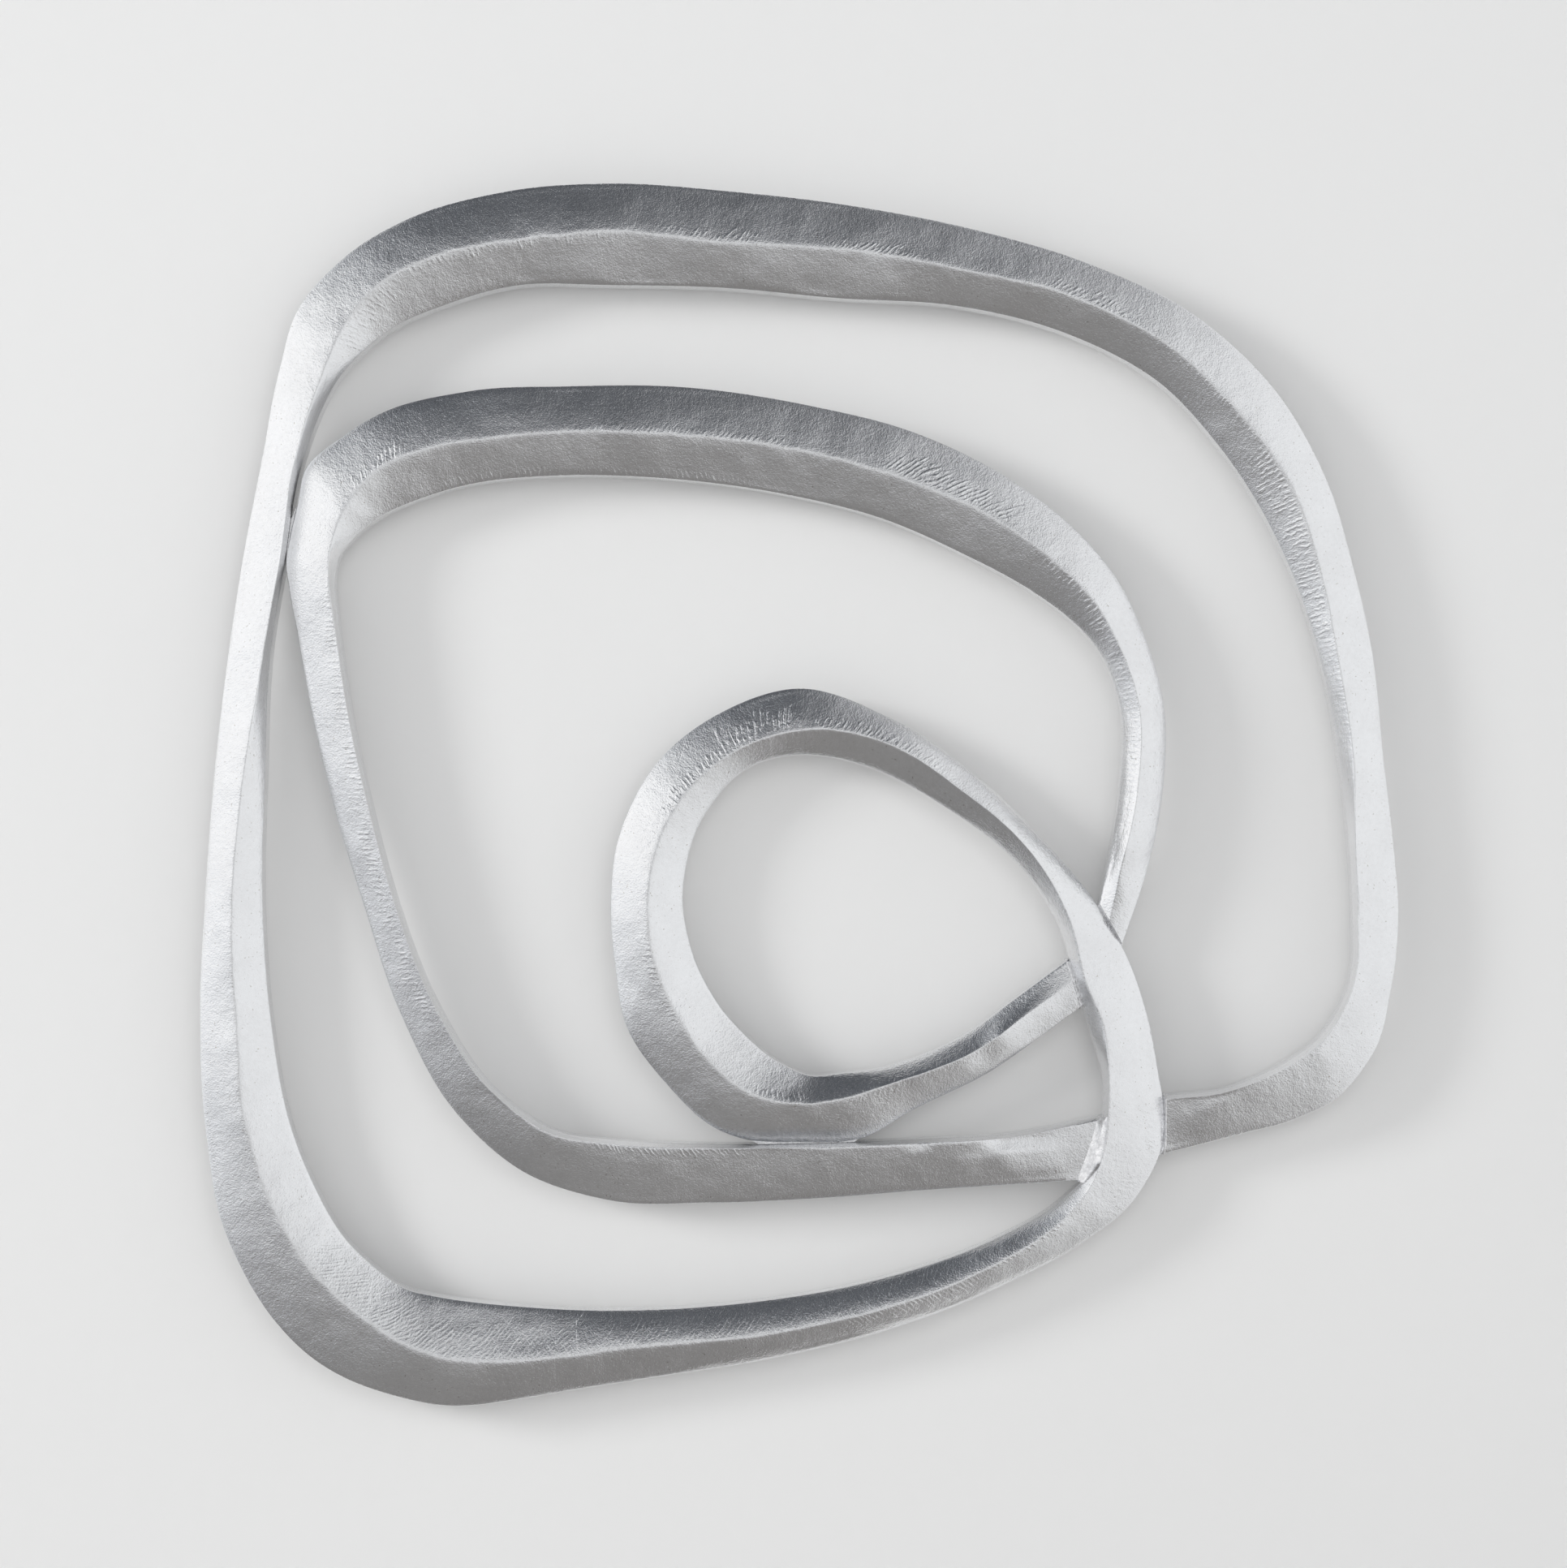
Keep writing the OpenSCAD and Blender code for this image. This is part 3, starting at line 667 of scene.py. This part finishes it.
# butt welds, where an end of a length meets the edge of the riser
weld = {
    "rows": 26,
    "columns": 60,
    "depth": 19.2,           # from the folded edge back almost to the back sheets
    "spill": 0.6,            # past the length's sides
    "sink": 0.5,             # how far its rims lie under the sheets
    "riserStations": (34, 56),
    "edgeStep": 0.5,
    # rough lumps: height, breadth across, length along
    "lumps": [(1.0, 2.6, 2.1), (0.6, 1.3, 1.1)],
    # into the length it closes, onto the band it meets, how far it keeps its own height, how proud, how lumpy
    "outerEnd": (0.5, 0.3, 0.3, 0.02, 0.03),
    "centreEnd": (1.2, 0.9, 0.8, 0.3, 0.30),
    "middleStart": (0.6, 0.3, 0.3, 0.02, 0.03),
    "middleEnd": (3.6, 2.2, 0.0, 0.10, 0.05),
}
edgePlaces = places(longBand["rail"], weld["riserStations"], weld["edgeStep"])
edgeOuter, edgeInner, edgeShare, _ = railAt(longBand["rail"], edgePlaces)


def endHeading(band, place):
    # unit direction out of the end of the length
    step = 0.02 if place == 0 else -0.02
    o, i, _, _ = railAt(band["rail"], np.array([float(place), place + step]))
    heading = o[0] + i[0] - o[1] - i[1]
    return heading / np.linalg.norm(heading)


def buttWeld(name, node, band, place, onInner, seed, shape):
    w = weld
    overlap, past, hold, proud, lumpiness = w[shape]
    heading = endHeading(band, place)
    o, i, share, along = railAt(band["rail"], np.array([float(place)]))
    o, i = o[0], i[0]
    width = np.linalg.norm(i - o)
    across = (i - o) / width
    # its near rim follows the end of the length
    cols = np.linspace(-w["spill"], width + w["spill"], w["columns"])
    topU, topV = crownProfile(np.array([width]), np.array([share[0] * width]), section["innerBulge"])
    order = np.argsort(topU[0], kind="stable")
    startV = np.interp(np.clip(cols, 0, width), topU[0][order], topV[0][order])
    keep = endFlattening(band, along, np.clip(cols, 0, width)[None], np.array([width]))[0]
    startV = np.where(startV > foldedEdge, foldedEdge + (startV - foldedEdge) * keep, startV)
    start = o + across * cols[:, None] - heading * overlap
    # its far rim lies on the riser's nearest facet
    edge = edgeInner if onInner else edgeOuter
    inward = (edgeOuter - edgeInner) if onInner else (edgeInner - edgeOuter)
    size = np.linalg.norm(inward, axis=1)
    inward = inward / size[:, None]
    reach = size * (1 - edgeShare) if onInner else size * edgeShare
    rel = edge[None] - start[:, None]
    ahead = rel @ heading
    aside = np.abs(rel @ np.array([-heading[1], heading[0]]))
    hit = np.argmin(aside + 0.02 * np.abs(ahead), axis=1)
    end = edge[hit] + inward[hit] * past
    endV = foldedEdge + section["ridgeRise"] * facetRise(np.minimum(past / reach[hit], 1)) - w["sink"]
    t = np.linspace(0, 1, w["rows"])[:, None]
    flat = start[None] * (1 - t[..., None]) + end[None] * t[..., None]
    ease = softStep(hold, 1.0, t)
    height = startV[None] * (1 - ease) + endV[None] * ease
    u2 = cols[None] + 0 * t
    d2 = t * np.linalg.norm(end - start, axis=1)[None]
    swell = np.sin(np.pi * np.clip(t * 1.15 - 0.02, 0, 1))
    lumps = sum(tall * smoothNoise(u2 / broad, d2 / long, seed + n)
                for n, (tall, broad, long) in enumerate(w["lumps"]))
    height = height + swell * (proud + lumpiness * lumps) - w["sink"] * (1 - swell)
    low = np.full_like(height, foldedEdge - w["depth"])
    outline = np.concatenate([toWorld(flat, height), toWorld(flat[:, ::-1], low[:, ::-1])], 1)
    finishPiece(loopSweep(name, outline), weldMaterial, "weld_leaf", node)


buttWeld("weldOuterEnd", "weld_outer_end", longBand, 0, False, 3, "outerEnd")
buttWeld("weldCentreEnd", "weld_centre_end", longBand, 67, True, 5, "centreEnd")
buttWeld("weldMiddleStart", "weld_middle_start", middleBand, 0, False, 7, "middleStart")
buttWeld("weldMiddleEnd", "weld_middle_end", middleBand, 32, True, 9, "middleEnd")
print("welds made")

# hangers, posts, bumpers and contact welds keep their solid shapes
for node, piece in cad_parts.items():
    if node.startswith("weld"):
        chosen = weldMaterial
    elif node.startswith(("hanger", "post")):
        chosen = steelMaterial
    elif node.startswith("bumper"):
        chosen = rubberMaterial
    else:
        continue
    for k in range(len(piece.data.materials)):
        piece.data.materials[k] = chosen
print("fittings finished")

# room
room = {
    "wallColour": (0.87, 0.868, 0.86),
    "wallWidth": 5.0,
    "wallTop": 2.0,
    "floorLevel": -1.55,
    "wallOffset": 0.0005,    # half a millimetre behind the bumpers' faces
    "wallRoughness": 0.7,
    "paintScale": 45,
    "paintHeight": 0.0006,
    "paintStrength": 0.5,
    "floorColour": (0.80, 0.79, 0.78),
    "floorRoughness": 0.8,
    "floorSide": 3.5,
    "floorFront": -4.5,
    "floorBack": 2.5,
    "lampPower": 166.0,
    "lampSize": 1.9,
    "lampPlace": (-5.9, -3.2, 1.35),
    "lampTarget": (0, 0, -0.4),
    "fillPower": 19.0,
    "fillSize": 2.0,
    "fillPlace": (0.5, -3.6, 0.3),
    # light from all round, by the angle it comes from: 0 right, 90 above, 180 left, 270 below
    "round": [
        (0, (0.86, 0.87, 0.88)), (34, (0.86, 0.87, 0.88)), (46, (0.81, 0.82, 0.83)),
        (56, (0.63, 0.635, 0.65)), (66, (0.36, 0.365, 0.38)), (77, (0.18, 0.185, 0.195)),
        (90, (0.10, 0.105, 0.115)), (106, (0.08, 0.087, 0.098)), (118, (0.12, 0.127, 0.14)),
        (127, (0.27, 0.28, 0.30)), (135, (0.52, 0.54, 0.57)), (143, (0.90, 0.91, 0.92)),
        (152, (1.06, 1.06, 1.06)), (175, (1.07, 1.07, 1.07)), (187, (0.83, 0.85, 0.88)),
        (200, (0.56, 0.57, 0.59)), (213, (0.31, 0.31, 0.32)), (228, (0.215, 0.213, 0.212)),
        (256, (0.25, 0.245, 0.24)), (274, (0.205, 0.199, 0.195)), (290, (0.31, 0.302, 0.298)),
        (304, (0.54, 0.54, 0.54)), (318, (0.75, 0.755, 0.76)), (338, (0.83, 0.84, 0.85)),
        (360, (0.86, 0.87, 0.88)),
    ],
    "ahead": (0.66, 0.665, 0.675),
    # share of the ring in the light, by how far its direction leans away from straight ahead
    "aheadFade": [(0.10, 0.0), (0.34, 0.62), (0.50, 0.86), (0.66, 1.0)],
    "backdrop": (0.74, 0.742, 0.748),    # seen past the wall's edges in other views
}


def makeWorld():
    world = bpy.data.worlds.new("studio")
    bpy.context.scene.world = world
    world.use_nodes = True
    t = world.node_tree
    back = t.nodes["Background"]
    direction = addNode(t, "ShaderNodeTexCoord").outputs["Generated"]
    parts = addNode(t, "ShaderNodeSeparateXYZ")
    t.links.new(direction, parts.inputs[0])
    angle = maths(t, "ARCTAN2", parts.outputs["Z"], parts.outputs["X"])
    turn = maths(t, "FRACT", maths(t, "ADD", maths(t, "DIVIDE", angle, 2 * math.pi), 1.0))
    ring = ramp(t, turn, [(a / 360, c) for a, c in room["round"]])
    square = [maths(t, "POWER", parts.outputs[axis], 2) for axis in ("X", "Z")]
    reach = maths(t, "SQRT", maths(t, "ADD", *square))
    around = mixed(t, ramp(t, reach, room["aheadFade"]), room["ahead"], ring)
    seen = addNode(t, "ShaderNodeLightPath").outputs["Is Camera Ray"]
    t.links.new(mixed(t, seen, around, room["backdrop"]), back.inputs["Color"])
    back.inputs["Strength"].default_value = 1.0


def areaLamp(name, place, size, power):
    data = bpy.data.lights.new(name, "AREA")
    data.shape = "DISK"
    data.size = size
    data.energy = power
    lamp = bpy.data.objects.new(name, data)
    lamp.location = place
    lamp.rotation_euler = (Vector(room["lampTarget"]) - Vector(place)).to_track_quat("-Z", "Y").to_euler()
    bpy.context.scene.collection.objects.link(lamp)
    lamp.visible_glossy = False
    lamp.visible_camera = False


def panel(name, corners, material):
    bm = bmesh.new()
    bm.faces.new([bm.verts.new(c) for c in corners])
    mesh = bpy.data.meshes.new(name)
    bm.to_mesh(mesh)
    bm.free()
    mesh.materials.append(material)
    made = bpy.data.objects.new(name, mesh)
    bpy.context.scene.collection.objects.link(made)
    return made


def wallPaint():
    colour = room["wallColour"] + (1,)
    m, t, shader = newMaterial("wallPaint", Roughness=room["wallRoughness"], Base_Color=colour)
    place = addNode(t, "ShaderNodeTexCoord").outputs["Object"]
    grain = noise(t, place, room["paintScale"], 3, 0.5)
    t.links.new(bumped(t, grain, room["paintHeight"], room["paintStrength"]), shader.inputs["Normal"])
    # seen from behind, the wall lets the back of the piece show
    clear = addNode(t, "ShaderNodeBsdfTransparent")
    either = addNode(t, "ShaderNodeMixShader")
    t.links.new(addNode(t, "ShaderNodeNewGeometry").outputs["Backfacing"], either.inputs["Fac"])
    t.links.new(shader.outputs[0], either.inputs[1])
    t.links.new(clear.outputs[0], either.inputs[2])
    t.links.new(either.outputs[0], t.nodes["Material Output"].inputs["Surface"])
    return m


makeWorld()
half, top, low, y = room["wallWidth"] / 2, room["wallTop"], room["floorLevel"], room["wallOffset"]
panel("wall", [(-half, y, low), (half, y, low), (half, y, top), (-half, y, top)], wallPaint())
colour = room["floorColour"] + (1,)
floorPaint, _, _ = newMaterial("floorPaint", Roughness=room["floorRoughness"], Base_Color=colour)
side, front, back = room["floorSide"], room["floorFront"], room["floorBack"]
corners = [(-side, front, low), (side, front, low), (side, back, low), (-side, back, low)]
floor = panel("floor", corners, floorPaint)
floor.visible_glossy = False   # the metal reads the darker room below instead of a bright floor
areaLamp("softBox", room["lampPlace"], room["lampSize"], room["lampPower"])
areaLamp("fill", room["fillPlace"], room["fillSize"], room["fillPower"])
print("room made")

view = {
    "sensor": 36,
    "distance": 3.0,         # metres from the folded edges
    "width": 1.19722,        # seen at that distance
    "centre": (0.028, -0.397),
}
camera = bpy.data.cameras.new("camera")
camera.sensor_width = view["sensor"]
camera.sensor_fit = "HORIZONTAL"
camera.lens = view["sensor"] * view["distance"] / view["width"]
viewer = bpy.data.objects.new("camera", camera)
viewer.location = (view["centre"][0], -view["distance"] - foldedEdge / 1000, view["centre"][1])
viewer.rotation_euler = (math.radians(90), 0, 0)
bpy.context.scene.collection.objects.link(viewer)
bpy.context.scene.camera = viewer
bpy.context.scene.view_settings.view_transform = "Standard"
